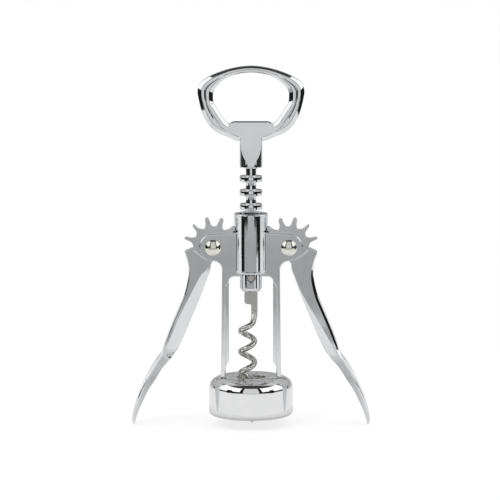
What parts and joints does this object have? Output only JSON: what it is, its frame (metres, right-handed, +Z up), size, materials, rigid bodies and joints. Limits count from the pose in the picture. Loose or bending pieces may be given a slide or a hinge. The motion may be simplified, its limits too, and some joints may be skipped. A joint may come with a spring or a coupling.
{
  "type": "winged corkscrew",
  "caption": "Chromed winged corkscrew: geared side levers draw a ringed rack and wire worm up through a barrel over a bottle bell; ring handle lifts crown caps.",
  "frame": {"origin": "on the worm's axis, level with the tips of the two levers, which hang just below the rim of the bell", "axes": "+Z up along the worm and rack, X across the two levers, Y from front to back along the lever pivots"},
  "size_m": [0.1196, 0.0422, 0.1808],
  "materials": {
    "chromed_casting": "polished chrome over a zinc casting",
    "chromed_bell": "mirror polished chrome",
    "nickel_rivet": "nickel plated, slightly warm",
    "worm_steel": "dull plated steel wire",
    "white_nylon": "matt moulded nylon"
  },
  "bodies": {
    "frame": {"frame_body": "chromed_casting", "bell": "chromed_bell", "bottle_guide_ring": "white_nylon", "left_pivot_rivet": "nickel_rivet", "right_pivot_rivet": "nickel_rivet"},
    "rack": {"rack": "chromed_casting"},
    "screw": {"opener_handle": "chromed_casting", "worm_ferrule": "chromed_casting", "worm_pin": "worm_steel", "worm": "worm_steel"},
    "left_lever": {"left_lever": "chromed_casting"},
    "right_lever": {"right_lever": "chromed_casting"}
  },
  "joints": [
    {"name": "rack_slide", "type": "slide", "parent": "frame", "child": "rack", "axis": [0, 0, 1], "range_m": [-0.032, 0.0035]},
    {"name": "handle_spin", "type": "hinge", "parent": "rack", "child": "screw", "pos_m": [0, 0, 0.1], "axis": [0, 0, 1], "continuous": true},
    {"name": "left_lever_pivot", "type": "hinge", "parent": "frame", "child": "left_lever", "pos_m": [-0.01902, 0, 0.09], "axis": [0, 1, 0], "range_deg": [-15.2, 137.4]},
    {"name": "right_lever_pivot", "type": "hinge", "parent": "frame", "child": "right_lever", "pos_m": [0.01902, 0, 0.09], "axis": [0, -1, 0], "range_deg": [-15.2, 137.4]}
  ],
  "couplings": [
    {"joint": "left_lever_pivot", "follows": "rack_slide", "rad_per_m": -74.8},
    {"joint": "right_lever_pivot", "follows": "rack_slide", "rad_per_m": -74.8}
  ]
}
